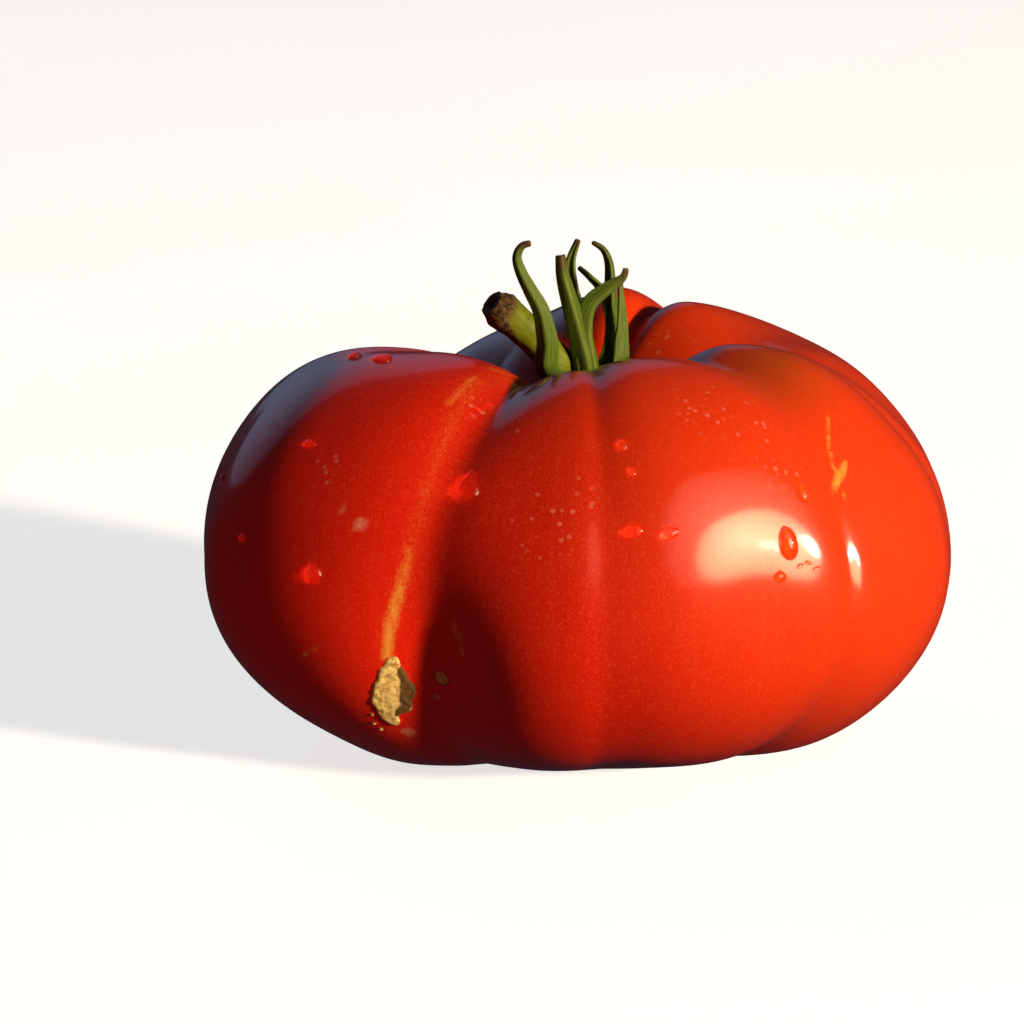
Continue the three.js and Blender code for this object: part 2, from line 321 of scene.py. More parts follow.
def spin_fruit():
    """The outline spun about the axis into a closed skin, in millimetres."""
    shape = bmesh.new()
    points = [shape.verts.new(place) for place in fruit_outline()]
    for first, second in zip(points, points[1:]):
        shape.edges.new((first, second))
    bmesh.ops.spin(
        shape,
        geom=shape.verts[:] + shape.edges[:],
        cent=(0, 0, 0),
        axis=(0, 0, 1),
        angle=2 * math.pi,
        steps=SPIN_STEPS,
        use_merge=True,
    )
    bmesh.ops.remove_doubles(shape, verts=shape.verts[:], dist=0.0005)
    bmesh.ops.recalc_face_normals(shape, faces=shape.faces[:])
    shape.normal_update()
    return shape


fruit = spin_fruit()
print("the spun fruit has", len(fruit.verts), "points")

# %% Lobes, grooves and uneven growth
# Each swell: azimuth from the front to the right, latitude from the widest height, push in millimetres,
# and how far it spreads across and along, in degrees.
SWELLS = [
    (140, 62, 3.4, 22, 16),
    (164, 60, 3.6, 17, 18),
    (91, 61, -5.5, 17, 13),
    (64, 46, 1.8, 12, 16),
    (-128, 56, -11.0, 31, 26),
    (12, 56, 1.2, 26, 16),
    (-78, 40, 2.0, 30, 18),
    (-62, 6, 4.2, 17, 26),
    (-92, -28, -2.2, 26, 18),
    (-52, -44, 2.2, 15, 16),
    (-10, 28, -2.4, 13, 22),
    (-22, -7, -4.6, 12, 16),
    (84, 28, -1.3, 30, 14),
    (112, 46, -1.8, 16, 12),
    (10, -50, -2.4, 34, 18),
    (70, -40, 2.0, 34, 24),
]
# Each groove: its azimuths at the shoulder, the belly and the base, its depths there, and its half width.
SHOULDER, BELLY, BASE = 0, 1, 2
GROOVES = [
    ((-22, -27, -30), (4.4, 4.6, 4.2), 8),
    ((3, 6, 8), (1.4, 1.4, 1.0), 7),
    ((50, 43, 45), (2.4, 2.0, 2.6), 7),
    ((88, 92, 95), (2.0, 1.0, 0.8), 9),
    ((150, 150, 150), (5.2, 1.8, 1.6), 6),
    ((-170, -170, -170), (1.2, 1.2, 1.2), 7),
    ((-146, -146, -146), (7.5, 1.0, 0.8), 8),
    ((-104, -104, -104), (5.5, 2.0, 1.8), 7),
    ((-72, -76, -80), (2.0, 1.4, 1.0), 7),
]
# Gentle ripples that only the looks need, in the same form as the swells: four break up the gleam on the
# front right lobe, and the others soften a groove, draw a crease or lower the left shoulder.
RIPPLES = [
    (25, 2, -1.4, 12, 12),
    (41.5, 1, 1.3, 7, 15),
    (43.4, 1, -0.7, 1.5, 15),
    (47, 1, 0.5, 3.6, 13),
    (80, 24, -0.9, 4, 24),
    (3, 5, -0.35, 2.2, 45),
    (-31, -40, 2.4, 9, 13),
    (-74, 40, 1.3, 7, 22),
    (-82, 52, -1.2, 26, 13),
]
GROOVE_SOFTNESS = 0.5
GROOVE_FULL_LATITUDE = 48.0
WAVE_HEIGHT = 0.22
WAVE_LENGTH = 17.0


def smooth_step(value, start, end):
    """0 below start, 1 above end, and smooth between them."""
    share = min(1.0, max(0.0, (value - start) / (end - start)))
    return share * share * (3 - 2 * share)


def turn_between(start, end):
    """The turn from one azimuth to another, between -180 and 180 degrees."""
    return (end - start + 540) % 360 - 180


def groove_press(azimuth, latitude):
    """How deep the grooves press the skin in at one place."""
    turn = max(-1.0, min(1.0, latitude / GROOVE_FULL_LATITUDE))
    press = 0.0
    for course, depths, width in GROOVES:
        end = BASE if turn < 0 else SHOULDER
        depth = depths[BELLY] + (depths[end] - depths[BELLY]) * smooth_step(abs(turn), 0, 1)
        middle = course[BELLY] + turn_between(course[BELLY], course[end]) * abs(turn)
        away = turn_between(middle, azimuth) / width
        press += depth * math.exp(GROOVE_SOFTNESS - math.hypot(away, GROOVE_SOFTNESS))
    return press


def swell_push(azimuth, latitude):
    """How far uneven growth pushes the skin out at one place."""
    push = 0.0
    for middle, height, amount, across, along in SWELLS + RIPPLES:
        sideways = turn_between(middle, azimuth) / across
        upward = (latitude - height) / along
        push += amount * math.exp(-sideways * sideways - upward * upward)
    return push


def shape_lobes(shape):
    """Pushes every point of the spun skin out or in, and sizes the whole to the frame's fruit."""
    for point in shape.verts:
        radius = math.hypot(point.co.x, point.co.y)
        azimuth = math.degrees(math.atan2(point.co.x, -point.co.y))
        latitude = math.degrees(math.atan2(point.co.z - WIDEST_HEIGHT, radius))
        if latitude < 0:
            near_pole = smooth_step(radius, RESTING_RADIUS, RESTING_RADIUS + BASE_SWELL)
        else:
            near_pole = smooth_step(radius, BASIN_FLOOR_SPREAD / 3, CREST_RADIUS)
        wave = WAVE_HEIGHT * noise.noise(point.co / WAVE_LENGTH)
        push = swell_push(azimuth, latitude) - groove_press(azimuth, latitude) + wave
        point.co += point.normal * push * near_pole
    low = Vector([min(point.co[axis] for point in shape.verts) for axis in range(3)])
    high = Vector([max(point.co[axis] for point in shape.verts) for axis in range(3)])
    for point in shape.verts:
        for axis in (0, 1):
            share = (point.co[axis] - low[axis]) / (high[axis] - low[axis])
            point.co[axis] = FRUIT_LOW[axis] + share * (FRUIT_HIGH[axis] - FRUIT_LOW[axis])
        point.co.z *= MM
    shape.normal_update()


shape_lobes(fruit)
print("lobes are shaped; the shoulder stands", round(max(v.co.z for v in fruit.verts) / MM, 1), "mm high")

# %% [markdown]
# Marks on the skin are placed by the photograph. A ray through a pixel meets the skin at one point, and
# every mark is then a field that falls off with the distance from such points.
# The fields are stored as attributes of the mesh, so that one skin material can paint them all.

# %% Places on the skin
def skin_tree(shape):
    """A search tree over the skin, for rays and nearest points."""
    return BVHTree.FromBMesh(shape)


skin = skin_tree(fruit)


def skin_at(pixel):
    """The point of the skin that the photograph shows at a pixel."""
    right, above = pixel_slopes(pixel)
    direction = (FORWARD + right * ACROSS + above * UPWARD).normalized()
    place, normal, face, distance = skin.ray_cast(camera.location, direction)
    return place


def line_distance(place, route):
    """The distance from a place to a route of points."""
    nearest = (place - route[0]).length
    for start, end in zip(route, route[1:]):
        foot, share = geometry.intersect_point_line(place, start, end)
        if 0 < share < 1:
            nearest = min(nearest, (place - foot).length)
        nearest = min(nearest, (place - end).length)
    return nearest


# Corky scar in the deep groove: pixels and radii in millimetres of the lumps that it is made of.
SCAR_LUMPS = [
    ((393, 662), 1.1),
    ((388, 673), 1.5),
    ((384, 687), 1.7),
    ((382, 701), 1.8),
    ((387, 714), 1.5),
    ((394, 721), 1.0),
    ((398, 676), 1.5),
    ((405, 690), 1.8),
    ((402, 706), 1.7),
    ((393, 695), 1.9),
]
# The side of that scar that lies in the groove's shadow, darkened as painted shade, in the same form.
SCAR_SHADED_SIDE = [((404, 671), 1.3), ((410, 685), 1.8), ((409, 699), 1.8), ((402, 712), 1.3)]
RING_SCAB = ((441.5, 678), 1.55)
CRUMBS = [((372, 714), 0.35), ((374, 723), 0.4), ((381, 729), 0.4), ((366, 735), 0.35)]
# Golden russet, corky cracks and, in the wide first band, a painted sheen along the sunlit bank of the deep
# groove: pixels along each, its half width in millimetres and its strength.
RUSSET_AND_SHEEN_LINES = [
    ([(480, 380), (462, 402), (444, 440), (425, 495),
      (411, 545), (403, 585), (392, 620), (385, 655)], 3.4, 0.20),
    ([(410, 550), (404, 580)], 1.4, 0.40),
    ([(405, 568), (399, 596)], 1.5, 0.55),
    ([(399, 592), (394, 610), (389, 632), (387, 656)], 1.6, 0.75),
    ([(473, 378), (460, 391), (448, 403)], 1.2, 0.36),
    ([(829, 416), (827, 430), (829, 446), (831, 458)], 0.55, 0.6),
    ([(845, 464), (841, 476), (834, 488)], 0.95, 0.85),
    ([(831, 458), (836, 472), (836, 486)], 0.6, 0.6),
    ([(845, 494), (844, 499)], 0.6, 0.7),
    ([(453, 622), (459, 638), (462, 654)], 1.2, 0.4),
    ([(299, 657), (309, 652), (318, 647)], 0.45, 0.5),
]
# Clusters of pale spots where water has dried: pixels and radii in millimetres.
SPOT_CLUSTERS = [
    ((545, 520), 8.0),
    ((716, 408), 9.0),
    ((742, 424), 9.0),
    ((668, 352), 6.0),
    ((782, 470), 5.5),
    ((480, 408), 3.5),
    ((520, 428), 3.0),
    ((330, 470), 5.0),
    ((570, 500), 6.0),
]
DRIED_SPOTS = [((360, 524), 1.4), ((343, 508), 0.7), ((437, 697), 0.8), ((408, 732), 1.6)]
# The olive shoulder, pixel and radius in millimetres: the skin's own olive tint and a painted shade on the
# ridge top facing away from the sun.
OLIVE_AND_SHADE_SHOULDER = ((775, 362), 15.0)
SCAR_ZONE = 11.0
# Skin that a large drop covers, where the water leaves hardly any gloss: pixels and radii in millimetres.
WET_PLACES = [((788, 538), 1.9), ((788, 549), 1.9), ((780, 577), 1.2), ((803, 492), 1.5), ((469, 487), 2.4)]

scar_lumps = [(skin_at(pixel), radius * MM) for pixel, radius in SCAR_LUMPS]
scar_shaded_side = [(skin_at(pixel), radius * MM) for pixel, radius in SCAR_SHADED_SIDE]
ring_scab = (skin_at(RING_SCAB[0]), RING_SCAB[1] * MM)
crumbs = [(skin_at(pixel), radius * MM) for pixel, radius in CRUMBS]
russet_and_sheen_lines = [
    ([skin_at(pixel) for pixel in route], width * MM, full) for route, width, full in RUSSET_AND_SHEEN_LINES
]
spot_clusters = [(skin_at(pixel), radius * MM) for pixel, radius in SPOT_CLUSTERS]
dried_spots = [(skin_at(pixel), radius * MM) for pixel, radius in DRIED_SPOTS]
olive_and_shade_shoulder = (skin_at(OLIVE_AND_SHADE_SHOULDER[0]), OLIVE_AND_SHADE_SHOULDER[1] * MM)
wet_places = [(skin_at(pixel), radius * MM) for pixel, radius in WET_PLACES]
scar_middle = sum((place for place, radius in scar_lumps), Vector()) / len(scar_lumps)
print("the scar lies at", [round(v / MM, 1) for v in scar_middle], "mm")

# %% Fields of the marks
# Heights and depths of the corky relief, in millimetres.
CRUST_HEIGHT = 0.30
CRUST_LUMPS = 0.14
MOAT_DEPTH = 0.22
BEAD_HEIGHT = 0.16
BEAD_MOAT_DEPTH = 0.1


def refine_round(shape, middle, reach, cuts):
    """Cuts the faces round a place finer, so that small relief has points to stand on."""
    edges = [edge for edge in shape.edges if all((end.co - middle).length < reach for end in edge.verts)]
    bmesh.ops.subdivide_edges(shape, edges=edges, cuts=cuts, use_grid_fill=True)
    shape.normal_update()


def lump_field(place, lumps):
    """1 at the middle of the nearest lump, 0 at its rim, and below 0 outside it."""
    return max(1 - (place - middle).length / radius for middle, radius in lumps)


def merged_field(place, lumps):
    """Like the lump field, but the lumps run together into one smooth outline."""
    total = sum(math.exp(-((place - middle).length / radius) ** 2) for middle, radius in lumps)
    return max(-1.0, 1 + math.log(total + 1e-9))


def line_field(place, lines):
    """A line's full strength at its middle, and 0 at its rim and outside it."""
    strongest = 0.0
    for route, width, full in lines:
        reach = sum((after - before).length for before, after in zip(route, route[1:])) + width
        if (place - route[0]).length < reach:
            strongest = max(strongest, full * (1 - line_distance(place, route) / width))
    return strongest


def paint_fields(shape):
    """Stores each mark's field on the skin, and raises the corky relief."""
    names = ("scar", "scar_painted_shade", "ring", "russet_and_sheen", "spots", "dried", "olive_and_painted_shade", "wet")
    layers = {name: shape.verts.layers.float.new(name) for name in names}
    reliefs = []
    for point in shape.verts:
        place = point.co
        scar = -1.0
        scar_painted_shade = 0.0
        ring = -1.0
        if (place - scar_middle).length < 2 * SCAR_ZONE * MM:
            ragged = 0.11 * noise.noise(place / (1.3 * MM)) + 0.05 * noise.noise(place / (0.5 * MM))
            scar = max(merged_field(place, scar_lumps), lump_field(place, crumbs)) + ragged
            scar_painted_shade = max(0.0, merged_field(place, scar_shaded_side) + ragged)
            ring = 1 - (place - ring_scab[0]).length / ring_scab[1]
            reliefs.append((point, scar, ring))
        point[layers["scar"]] = scar
        point[layers["scar_painted_shade"]] = scar_painted_shade
        point[layers["ring"]] = ring
        point[layers["russet_and_sheen"]] = line_field(place, russet_and_sheen_lines)
        point[layers["spots"]] = max(0.0, lump_field(place, spot_clusters))
        point[layers["dried"]] = max(0.0, lump_field(place, dried_spots))
        point[layers["wet"]] = max(0.0, lump_field(place, wet_places))
        point[layers["olive_and_painted_shade"]] = max(0.0, lump_field(place, [olive_and_shade_shoulder]))
    for point, scar, ring in reliefs:
        lumps = CRUST_LUMPS * noise.noise(point.co / (0.8 * MM))
        crust = smooth_step(scar, 0.0, 0.25) * (CRUST_HEIGHT + lumps)
        moat = MOAT_DEPTH * math.exp(-((scar + 0.06) / 0.06) ** 2)
        bead = BEAD_HEIGHT * smooth_step(ring, 0.1, 0.5)
        bead_moat = BEAD_MOAT_DEPTH * math.exp(-((ring - 0.02) / 0.12) ** 2)
        point.co += point.normal * (crust - moat + bead - bead_moat) * MM
    shape.normal_update()


refine_round(fruit, scar_middle, SCAR_ZONE * MM, 3)
for middle, radius in wet_places:
    refine_round(fruit, middle, 2 * radius, 2)
paint_fields(fruit)
print("the fruit has", len(fruit.faces), "faces with its scar")

# %% [markdown]
# The skin. A ripe tomato is a red, faintly cloudy flesh under a clear waxy skin, so the shader lets a
# little light in, keeps a strong gloss, and breaks the gloss up with the fine grain of the cells.
# The colour is lighter red low on the shaded left, darker in the middle and orange high on the sunny right, a
# painted light and shade over the skin, with pale streaks from stem to base.
# The marks are painted by their fields: golden russet with a painted sheen along the lit bank of the deep
# groove, tan cork with painted shade on its shaded side and in the moat round it, pale dried water spots, and
# an olive shoulder whose ridge top is darkened as painted shade.

# %% Skin material
def attribute(tree, name):
    """A field that is stored on the mesh."""
    return add_node(tree, "Attribute", attribute_name=name).outputs["Fac"]


def make_skin():
    """Waxy red skin with all of its marks."""
    material, tree, shader = new_material("tomato_skin")
    place = add_node(tree, "TexCoord").outputs["Object"]
    axes = add_node(tree, "SeparateXYZ", {0: place})
    azimuth = calculate(tree, "ARCTAN2", axes.outputs["X"], axes.outputs["Y"])
    turned = calculate(tree, "MULTIPLY", azimuth, 9.0)
    streak_place = add_node(tree, "CombineXYZ", {"X": turned, "Y": axes.outputs["Z"], "Z": 0.0}).outputs[0]
    streaks = grain(tree, streak_place, 6.0, 4.0, 0.6)
    clouds = grain(tree, place, 38, 3.0, 0.55)
    cells = grain(tree, place, 900, 2.0, 0.6)
    height_and_side = calculate(tree, "MULTIPLY_ADD", axes.outputs["Z"], 0.5, axes.outputs["X"])
    height_and_side = calculate(tree, "SUBTRACT", height_and_side, 0.035)
    # Painted light and shade: the base colour is lighter red low on the shaded left, darker in the middle and
    # orange high on the sunny right.
    painted_light_ramp = add_node(tree, "ValToRGB", {"Fac": fade(tree, height_and_side, -0.072, 0.042)})
    painted_light_ramp.color_ramp.elements[0].color = (0.80, 0.010, 0.002, 1)
    painted_light_ramp.color_ramp.elements[1].color = (0.72, 0.042, 0.004, 1)
    middle = painted_light_ramp.color_ramp.elements.new(0.5)
    middle.color = (0.53, 0.011, 0.002, 1)
    ripe_tone_and_painted_light = painted_light_ramp.outputs["Color"]
    ripe_tone_and_painted_light = mix_colours(tree, calculate(tree, "MULTIPLY", clouds, 0.2), ripe_tone_and_painted_light, (0.80, 0.035, 0.005, 1))
    pale_streaks = calculate(tree, "MULTIPLY", fade(tree, streaks, 0.5, 0.8), 0.08)
    ripe_tone_and_painted_light = mix_colours(tree, pale_streaks, ripe_tone_and_painted_light, (0.85, 0.11, 0.02, 1))
    pale_cells = calculate(tree, "MULTIPLY", fade(tree, cells, 0.45, 0.75), 0.10)
    red = mix_colours(tree, pale_cells, ripe_tone_and_painted_light, (0.80, 0.09, 0.02, 1))
    specks = grain(tree, place, 2400, 1.0, 0.5)
    pale_specks = calculate(tree, "MULTIPLY", fade(tree, specks, 0.52, 0.72), 0.2)
    red = mix_colours(tree, pale_specks, red, (0.95, 0.13, 0.03, 1))

    # The russet field paints corky russet, and in its wide first band a painted sheen along the sunlit bank
    # of the deep groove.
    russet_grain = grain(tree, place, 2200, 3.0, 0.7)
    russet_and_sheen_line = attribute(tree, "russet_and_sheen")
    grainy_line = calculate(tree, "MULTIPLY_ADD", russet_grain, 0.9, russet_and_sheen_line)
    russet_and_sheen = fade(tree, grainy_line, 0.45, 1.35)
    russet_and_sheen = calculate(tree, "MULTIPLY", russet_and_sheen, fade(tree, russet_and_sheen_line, 0.0, 0.3))
    red = mix_colours(tree, russet_and_sheen, red, (0.86, 0.36, 0.05, 1))
    # The olive shoulder is partly the skin's own olive tint and partly painted shade on the ridge top facing
    # away from the sun.
    olive_and_shade_clouds = calculate(tree, "MULTIPLY_ADD", clouds, 0.6, 0.25)
    olive_and_painted_shade = calculate(tree, "MULTIPLY", attribute(tree, "olive_and_painted_shade"), olive_and_shade_clouds)
    red = mix_colours(tree, olive_and_painted_shade, red, (0.16, 0.075, 0.008, 1))

    basin = add_node(tree, "VectorMath", {0: place, 1: (0, 0, BASIN_FLOOR * MM)}, operation="DISTANCE")
    basin_reach = calculate(tree, "MULTIPLY_ADD", streaks, 0.006, basin.outputs["Value"])
    unripe = fade(tree, basin_reach, 0.017, 0.009)
    red = mix_colours(tree, calculate(tree, "MULTIPLY", unripe, 0.7), red, (0.30, 0.20, 0.03, 1))
    blossom = add_node(tree, "VectorMath", {0: place}, operation="LENGTH")
    blossom_reach = calculate(tree, "MULTIPLY_ADD", streaks, 0.003, blossom.outputs["Value"])
    blossom_end = fade(tree, blossom_reach, 0.0055, 0.0035)
    red = mix_colours(tree, blossom_end, red, (0.24, 0.13, 0.05, 1))

    blots = add_node(tree, "TexVoronoi", {"Vector": place, "Scale": 620.0, "Randomness": 1.0})
    blot = fade(tree, blots.outputs["Distance"], 0.36, 0.16)
    chosen = fade(tree, add_node(tree, "SeparateColor", {0: blots.outputs["Color"]}).outputs[0], 0.3, 0.5)
    clustered = fade(tree, attribute(tree, "spots"), 0.0, 0.6)
    blot = calculate(tree, "MULTIPLY", calculate(tree, "MULTIPLY", blot, chosen), clustered)
    dried = fade(tree, attribute(tree, "dried"), 0.0, 0.5)
    dried = calculate(tree, "MULTIPLY", dried, grain(tree, place, 1400))
    pale = calculate(tree, "MAXIMUM", calculate(tree, "MULTIPLY", blot, 0.32), dried)
    red = mix_colours(tree, pale, red, (0.86, 0.33, 0.22, 1))

    cork_grain = grain(tree, place, 1300, 4.0, 0.65)
    cork = add_node(tree, "ValToRGB", {"Fac": cork_grain})
    cork.color_ramp.elements[0].position = 0.30
    cork.color_ramp.elements[0].color = (0.40, 0.20, 0.045, 1)
    cork.color_ramp.elements[1].position = 0.60
    cork.color_ramp.elements[1].color = (1.0, 0.74, 0.26, 1)
    # Painted shade: the scar's side in the groove's shadow is darkened to deep brown.
    scar_shade_share = calculate(tree, "MULTIPLY", fade(tree, attribute(tree, "scar_painted_shade"), 0.0, 0.4), 0.9)
    cork_and_painted_shade = mix_colours(tree, scar_shade_share, cork.outputs["Color"], (0.070, 0.022, 0.006, 1))
    scar = fade(tree, attribute(tree, "scar"), -0.02, 0.06)
    # Painted shade: the moat round the scar and round the ring scab is darkened nearly to black.
    moat = calculate(tree, "MULTIPLY", fade(tree, attribute(tree, "scar"), -0.12, -0.03), 0.7)
    ring = calculate(tree, "MULTIPLY", fade(tree, attribute(tree, "ring"), 0.1, 0.3), 0.45)
    ring_moat_shade = calculate(tree, "MULTIPLY", fade(tree, attribute(tree, "ring"), -0.15, 0.0), 0.4)
    red = mix_colours(tree, calculate(tree, "MAXIMUM", moat, ring_moat_shade), red, (0.035, 0.008, 0.004, 1))
    red = mix_colours(tree, calculate(tree, "MAXIMUM", scar, ring), red, cork_and_painted_shade)
    tree.links.new(red, shader.inputs["Base Color"])

    rough = calculate(tree, "MULTIPLY_ADD", clouds, 0.10, 0.38)
    rough = calculate(tree, "MULTIPLY_ADD", russet_and_sheen, 0.2, rough)
    rough = calculate(tree, "MULTIPLY_ADD", calculate(tree, "MAXIMUM", scar, ring), 0.6, rough)
    tree.links.new(rough, shader.inputs["Roughness"])
    relief = calculate(tree, "MULTIPLY_ADD", calculate(tree, "MULTIPLY", scar, cork_grain), 6.0, cells)
    bump = add_node(tree, "Bump", {"Height": relief, "Strength": 0.3, "Distance": 0.06 * MM})
    tree.links.new(bump.outputs["Normal"], shader.inputs["Normal"])
    shader.inputs["IOR"].default_value = 1.45
    shader.inputs["Subsurface Weight"].default_value = 0.18
    shader.inputs["Subsurface Radius"].default_value = (1.0, 0.22, 0.1)
    shader.inputs["Subsurface Scale"].default_value = 3 * MM
    dry = fade(tree, attribute(tree, "wet"), 0.35, 0.0)
    bare = calculate(tree, "SUBTRACT", dry, calculate(tree, "MAXIMUM", scar, ring))
    dull_basin = fade(tree, basin.outputs["Value"], 0.016, 0.032)
    waxy = calculate(tree, "MULTIPLY", bare, dull_basin)
    tree.links.new(calculate(tree, "MULTIPLY", waxy, 0.8), shader.inputs["Coat Weight"])
    tree.links.new(calculate(tree, "MULTIPLY", dry, 0.06), shader.inputs["Specular IOR Level"])
    shader.inputs["Coat Roughness"].default_value = 0.13
    return material


finish_piece("fruit_skin", fruit, make_skin(), ["fruit"])

# %% [markdown]
# The calyx. Each sepal is a narrow green blade with a keel down its middle, grown upright from a small knob
# in the basin, and the tips have dried brown and curled. A flat grid is tapered, folded along its keel and
# carried onto the curve of the midrib, and two modifiers give it thickness and soft edges.
# A single lofted tube would be simpler, but the lit half and the shaded half of each blade need the fold.

# %% Curves that pieces follow
ROUTE_POINTS = 40


def smooth_route(places, steps):
    """Evenly spaced points on a smooth curve through the given places."""
    padded = [2 * places[0] - places[1]] + places + [2 * places[-1] - places[-2]]
    dense = []
    for before, start, end, after in zip(padded, padded[1:], padded[2:], padded[3:]):
        first_handle = start + (end - before) / 6
        second_handle = end - (after - start) / 6
        dense += geometry.interpolate_bezier(start, first_handle, second_handle, end, ROUTE_POINTS)
    spans = [0.0]
    for first, second in zip(dense, dense[1:]):
        spans.append(spans[-1] + (second - first).length)
    route = []
    index = 0
    for step in range(steps + 1):
        target = spans[-1] * step / steps
        while index < len(spans) - 2 and spans[index + 1] < target:
            index += 1
        gap = spans[index + 1] - spans[index]
        share = (target - spans[index]) / gap if gap > 0 else 0.0
        route.append(dense[index].lerp(dense[index + 1], share))
    return route


def route_frame(route, along, outwards):
    """The place on a route at a share of its length, with its directions across and outwards."""
    spot = along * (len(route) - 1)
    index = min(int(spot), len(route) - 2)
    place = route[index].lerp(route[index + 1], spot - index)
    before = route[max(index - 1, 0)]
    after = route[min(index + 2, len(route) - 1)]
    tangent = (after - before).normalized()
    outward = (outwards - tangent * outwards.dot(tangent)).normalized()
    return place, outward.cross(tangent), outward


# %% Sepals
# Each sepal: name, azimuth, greatest width, tip width, and the midrib in millimetres above the basin floor.
SEPALS = [
    ("front_left", -8, 3.9, 0.7,
     [(-5.5, -7.4, 9), (-5.6, -8.2, 14), (-6.6, -8.4, 19.5), (-8.4, -8.3, 23.2),
      (-10.0, -7.9, 26.4), (-10.7, -7.6, 29.1), (-9.8, -7.4, 31.0), (-8.2, -7.3, 31.5)]),
    ("front", 14, 4.0, 1.5,
     [(1.8, -4.2, 8), (0.7, -4.5, 13.5), (-0.9, -4.9, 19.4), (-2.5, -5.0, 25), (-3.1, -4.8, 29)]),
    ("right_leaning", 40, 4.8, 1.0,
     [(3.0, -3.6, 8), (2.0, -3.4, 15), (2.6, -3.3, 19.6),
      (5.0, -2.9, 22.2), (7.8, -2.4, 24.4), (8.3, -2.2, 26.2)]),
    ("right", 80, 4.6, 1.0,
     [(8.2, -1.2, 8.5), (8.5, -1.0, 14), (8.0, -0.6, 19), (7.4, 0, 23.4)]),
    ("right_back", 112, 4.4, 0.7,
     [(7.2, 3.4, 8.5), (7.1, 4.0, 15.3), (6.4, 4.2, 21.6),
      (5.9, 4.1, 25.8), (4.6, 3.9, 28.5), (2.4, 3.7, 29.8)]),
    ("back_right", 140, 3.4, 0.7,
     [(6.2, 7.4, 8.5), (6.8, 8.4, 14.5), (4.7, 8.6, 20.1), (2.4, 8.4, 22.6), (0.1, 8.2, 24.5)]),
    ("back", 178, 3.8, 0.7,
     [(0.6, 5.2, 8.5), (0.2, 5.6, 15.5), (-1.1, 5.4, 21), (-1.3, 5.1, 26), (0, 4.9, 30)]),
]
SEPAL_ROOT_RADIUS = 3.9
SEPAL_ROOT_HEIGHT = 2.9
SEPAL_ROOT_WIDTH = 3.2
SEPAL_WIDEST_AT = 0.3
SEPAL_TAPER = 1.3
SEPAL_FOLD = 1.0
SEPAL_KEEL_SOFTNESS = 1.12
SEPAL_RIPPLE = 0.12
SEPAL_THICKNESS = 0.62
SEPAL_STRIPS = 10
SEPAL_STEPS = 56


def sepal_width(along, widest, tip):
    """The width of a sepal at a share of its length."""
    if along < SEPAL_WIDEST_AT:
        return SEPAL_ROOT_WIDTH + (widest - SEPAL_ROOT_WIDTH) * smooth_step(along, 0, SEPAL_WIDEST_AT)
    return widest + (tip - widest) * ((along - SEPAL_WIDEST_AT) / (1 - SEPAL_WIDEST_AT)) ** SEPAL_TAPER


def make_sepal_green():
    """Green blade with fine lengthwise veins, a pale keel and rim and a dry brown tip."""
    material, tree, shader = new_material("sepal_green")
    place = add_node(tree, "TexCoord").outputs["Object"]
    along = attribute(tree, "along")
    side = attribute(tree, "side")
    vein_side = calculate(tree, "MULTIPLY", side, 7.0)
    vein_along = calculate(tree, "MULTIPLY", along, 3.0)
    vein_place = add_node(tree, "CombineXYZ", {"X": vein_side, "Y": vein_along, "Z": 0.0}).outputs[0]
    veins = grain(tree, vein_place, 1.6, 3.0, 0.6)
    patches = grain(tree, place, 260, 3.0, 0.6)
    bright_veins = fade(tree, veins, 0.35, 0.68)
    green = mix_colours(tree, bright_veins, (0.030, 0.062, 0.003, 1), (0.115, 0.175, 0.008, 1))
    green = mix_colours(tree, calculate(tree, "MULTIPLY", patches, 0.5), green, (0.055, 0.100, 0.004, 1))
    keel = fade(tree, calculate(tree, "ABSOLUTE", side), 0.22, 0.02)
    green = mix_colours(tree, calculate(tree, "MULTIPLY", keel, 0.25), green, (0.18, 0.23, 0.03, 1))
    rim = fade(tree, calculate(tree, "ABSOLUTE", side), 0.82, 1.0)
    green = mix_colours(tree, calculate(tree, "MULTIPLY", rim, 0.35), green, (0.19, 0.24, 0.04, 1))
    dryness = calculate(tree, "MULTIPLY_ADD", patches, 0.25, along)
    green = mix_colours(tree, fade(tree, dryness, 1.0, 1.12), green, (0.070, 0.032, 0.012, 1))
    root = fade(tree, along, 0.32, 0.05)
    green = mix_colours(tree, calculate(tree, "MULTIPLY", root, 0.6), green, (0.14, 0.19, 0.012, 1))
    tree.links.new(green, shader.inputs["Base Color"])
    bump = add_node(tree, "Bump", {"Height": veins, "Strength": 0.35, "Distance": 0.25 * MM})
    tree.links.new(bump.outputs["Normal"], shader.inputs["Normal"])
    rough = calculate(tree, "MULTIPLY_ADD", patches, 0.25, 0.38)
    tree.links.new(rough, shader.inputs["Roughness"])
    shader.inputs["Subsurface Weight"].default_value = 0.12
    shader.inputs["Subsurface Radius"].default_value = (0.6, 1.0, 0.2)
    shader.inputs["Subsurface Scale"].default_value = 0.6 * MM
    shader.inputs["Sheen Weight"].default_value = 0.04
    shader.inputs["Specular IOR Level"].default_value = 0.2
    return material


